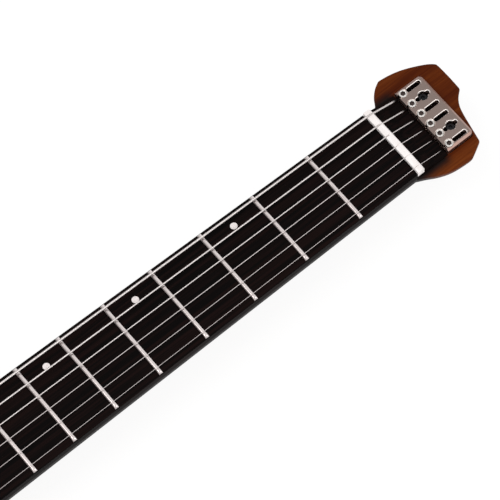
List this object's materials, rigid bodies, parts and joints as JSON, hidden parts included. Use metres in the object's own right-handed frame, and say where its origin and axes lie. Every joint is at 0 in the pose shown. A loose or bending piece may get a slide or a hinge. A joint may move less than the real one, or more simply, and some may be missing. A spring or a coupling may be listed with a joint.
{
  "type": "headless electric guitar",
  "caption": "Headless solid-body electric guitar with a bolt-on neck, string lock plate at the nut end and tuners at the bridge.",
  "frame": {"origin": "on the saddle line and the centre line, at the flat back of the body; the guitar lies on its back", "axes": "+X from the bridge to the head along the strings, +Y to the bass side, +Z out of the face"},
  "size_m": [0.8142, 0.308, 0.059],
  "materials": {
    "mahogany": "satin",
    "ebony": "satin",
    "bone": "satin",
    "satin_nickel": "satin",
    "steel": "polished",
    "black_metal": "satin",
    "black_plastic": "satin"
  },
  "bodies": {
    "guitar": {"body": "mahogany", "control_cover": "black_plastic", "neck_plate": "black_metal", "neck_bolt_1": "black_metal", "neck_bolt_2": "black_metal", "neck_bolt_3": "black_metal", "neck_bolt_4": "black_metal", "neck": "mahogany", "fretboard": "ebony", "nut": "bone", "truss_rod": "steel", "string_lock_plate": "satin_nickel", "headpiece_screw_1": "black_metal", "headpiece_screw_2": "black_metal", "neck_pickup": "black_plastic", "bridge_pickup": "black_plastic", "bridge_plate": "black_metal", "bridge_screw_1": "black_metal", "bridge_screw_2": "black_metal", "volume_pot": "steel", "tone_pot": "steel", "selector_switch": "steel", "output_jack": "steel", "strap_button_horn": "black_metal", "strap_button_tail": "black_metal", "string_1": "steel", "string_2": "steel", "string_3": "steel", "string_4": "steel", "string_5": "steel", "string_6": "steel"},
    "truss_rod_wheel": {"truss_rod_wheel": "steel"},
    "volume_knob": {"volume_knob": "black_metal"},
    "tone_knob": {"tone_knob": "black_metal"},
    "selector_lever": {"selector_lever": "black_metal"},
    "lock_screw_1": {"lock_screw_1": "steel"},
    "lock_screw_2": {"lock_screw_2": "steel"},
    "lock_screw_3": {"lock_screw_3": "steel"},
    "lock_screw_4": {"lock_screw_4": "steel"},
    "lock_screw_5": {"lock_screw_5": "steel"},
    "lock_screw_6": {"lock_screw_6": "steel"},
    "saddle_1": {"saddle_1": "satin_nickel"},
    "saddle_2": {"saddle_2": "satin_nickel"},
    "saddle_3": {"saddle_3": "satin_nickel"},
    "saddle_4": {"saddle_4": "satin_nickel"},
    "saddle_5": {"saddle_5": "satin_nickel"},
    "saddle_6": {"saddle_6": "satin_nickel"},
    "tuner_knob_1": {"tuner_knob_1": "black_metal"},
    "tuner_block_1": {"tuner_block_1": "satin_nickel"},
    "tuner_knob_2": {"tuner_knob_2": "black_metal"},
    "tuner_block_2": {"tuner_block_2": "satin_nickel"},
    "tuner_knob_3": {"tuner_knob_3": "black_metal"},
    "tuner_block_3": {"tuner_block_3": "satin_nickel"},
    "tuner_knob_4": {"tuner_knob_4": "black_metal"},
    "tuner_block_4": {"tuner_block_4": "satin_nickel"},
    "tuner_knob_5": {"tuner_knob_5": "black_metal"},
    "tuner_block_5": {"tuner_block_5": "satin_nickel"},
    "tuner_knob_6": {"tuner_knob_6": "black_metal"},
    "tuner_block_6": {"tuner_block_6": "satin_nickel"}
  },
  "joints": [
    {"name": "truss_rod_wheel_turn", "type": "hinge", "parent": "guitar", "child": "truss_rod_wheel", "pos_m": [0.1521, 0, 0.0413], "axis": [1, 0, 0], "range_deg": [-180, 180]},
    {"name": "volume_knob_turn", "type": "hinge", "parent": "guitar", "child": "volume_knob", "pos_m": [-0.008, -0.084, 0.05], "axis": [0, 0, 1], "range_deg": [-150, 150]},
    {"name": "tone_knob_turn", "type": "hinge", "parent": "guitar", "child": "tone_knob", "pos_m": [-0.044, -0.095, 0.05], "axis": [0, 0, 1], "range_deg": [-150, 150]},
    {"name": "selector_lever_tilt", "type": "hinge", "parent": "guitar", "child": "selector_lever", "pos_m": [0.026, -0.092, 0.04], "axis": [0, 1, 0], "range_deg": [-13, 13]},
    {"name": "lock_screw_1_turn", "type": "hinge", "parent": "guitar", "child": "lock_screw_1", "pos_m": [0.6707, 0.0176, 0.0495], "axis": [0, 0, 1], "range_deg": [0, 720]},
    {"name": "lock_screw_2_turn", "type": "hinge", "parent": "guitar", "child": "lock_screw_2", "pos_m": [0.6707, 0.01056, 0.0495], "axis": [0, 0, 1], "range_deg": [0, 720]},
    {"name": "lock_screw_3_turn", "type": "hinge", "parent": "guitar", "child": "lock_screw_3", "pos_m": [0.6707, 0.00352, 0.0495], "axis": [0, 0, 1], "range_deg": [0, 720]},
    {"name": "lock_screw_4_turn", "type": "hinge", "parent": "guitar", "child": "lock_screw_4", "pos_m": [0.6707, -0.00352, 0.0495], "axis": [0, 0, 1], "range_deg": [0, 720]},
    {"name": "lock_screw_5_turn", "type": "hinge", "parent": "guitar", "child": "lock_screw_5", "pos_m": [0.6707, -0.01056, 0.0495], "axis": [0, 0, 1], "range_deg": [0, 720]},
    {"name": "lock_screw_6_turn", "type": "hinge", "parent": "guitar", "child": "lock_screw_6", "pos_m": [0.6707, -0.0176, 0.0495], "axis": [0, 0, 1], "range_deg": [0, 720]},
    {"name": "saddle_1_slide", "type": "slide", "parent": "guitar", "child": "saddle_1", "axis": [1, 0, 0], "range_m": [-0.002, 0.002]},
    {"name": "saddle_2_slide", "type": "slide", "parent": "guitar", "child": "saddle_2", "axis": [1, 0, 0], "range_m": [-0.002, 0.002]},
    {"name": "saddle_3_slide", "type": "slide", "parent": "guitar", "child": "saddle_3", "axis": [1, 0, 0], "range_m": [-0.002, 0.002]},
    {"name": "saddle_4_slide", "type": "slide", "parent": "guitar", "child": "saddle_4", "axis": [1, 0, 0], "range_m": [-0.002, 0.002]},
    {"name": "saddle_5_slide", "type": "slide", "parent": "guitar", "child": "saddle_5", "axis": [1, 0, 0], "range_m": [-0.002, 0.002]},
    {"name": "saddle_6_slide", "type": "slide", "parent": "guitar", "child": "saddle_6", "axis": [1, 0, 0], "range_m": [-0.002, 0.002]},
    {"name": "tuner_knob_1_turn", "type": "hinge", "parent": "guitar", "child": "tuner_knob_1", "pos_m": [-0.055, 0.02625, 0.0469], "axis": [-1, 0, 0], "range_deg": [-1800, 1800]},
    {"name": "tuner_block_1_slide", "type": "slide", "parent": "guitar", "child": "tuner_block_1", "axis": [-1, 0, 0], "range_m": [-0.004, 0.004], "deforming": ["string_1"]},
    {"name": "tuner_knob_2_turn", "type": "hinge", "parent": "guitar", "child": "tuner_knob_2", "pos_m": [-0.055, 0.01575, 0.0469], "axis": [-1, 0, 0], "range_deg": [-1800, 1800]},
    {"name": "tuner_block_2_slide", "type": "slide", "parent": "guitar", "child": "tuner_block_2", "axis": [-1, 0, 0], "range_m": [-0.004, 0.004], "deforming": ["string_2"]},
    {"name": "tuner_knob_3_turn", "type": "hinge", "parent": "guitar", "child": "tuner_knob_3", "pos_m": [-0.055, 0.00525, 0.0469], "axis": [-1, 0, 0], "range_deg": [-1800, 1800]},
    {"name": "tuner_block_3_slide", "type": "slide", "parent": "guitar", "child": "tuner_block_3", "axis": [-1, 0, 0], "range_m": [-0.004, 0.004], "deforming": ["string_3"]},
    {"name": "tuner_knob_4_turn", "type": "hinge", "parent": "guitar", "child": "tuner_knob_4", "pos_m": [-0.055, -0.00525, 0.0469], "axis": [-1, 0, 0], "range_deg": [-1800, 1800]},
    {"name": "tuner_block_4_slide", "type": "slide", "parent": "guitar", "child": "tuner_block_4", "axis": [-1, 0, 0], "range_m": [-0.004, 0.004], "deforming": ["string_4"]},
    {"name": "tuner_knob_5_turn", "type": "hinge", "parent": "guitar", "child": "tuner_knob_5", "pos_m": [-0.055, -0.01575, 0.0469], "axis": [-1, 0, 0], "range_deg": [-1800, 1800]},
    {"name": "tuner_block_5_slide", "type": "slide", "parent": "guitar", "child": "tuner_block_5", "axis": [-1, 0, 0], "range_m": [-0.004, 0.004], "deforming": ["string_5"]},
    {"name": "tuner_knob_6_turn", "type": "hinge", "parent": "guitar", "child": "tuner_knob_6", "pos_m": [-0.055, -0.02625, 0.0469], "axis": [-1, 0, 0], "range_deg": [-1800, 1800]},
    {"name": "tuner_block_6_slide", "type": "slide", "parent": "guitar", "child": "tuner_block_6", "axis": [-1, 0, 0], "range_m": [-0.004, 0.004], "deforming": ["string_6"]}
  ],
  "couplings": [
    {"joint": "tuner_knob_1_turn", "follows": "tuner_block_1_slide", "rad_per_m": 7854},
    {"joint": "tuner_knob_2_turn", "follows": "tuner_block_2_slide", "rad_per_m": 7854},
    {"joint": "tuner_knob_3_turn", "follows": "tuner_block_3_slide", "rad_per_m": 7854},
    {"joint": "tuner_knob_4_turn", "follows": "tuner_block_4_slide", "rad_per_m": 7854},
    {"joint": "tuner_knob_5_turn", "follows": "tuner_block_5_slide", "rad_per_m": 7854},
    {"joint": "tuner_knob_6_turn", "follows": "tuner_block_6_slide", "rad_per_m": 7854}
  ]
}
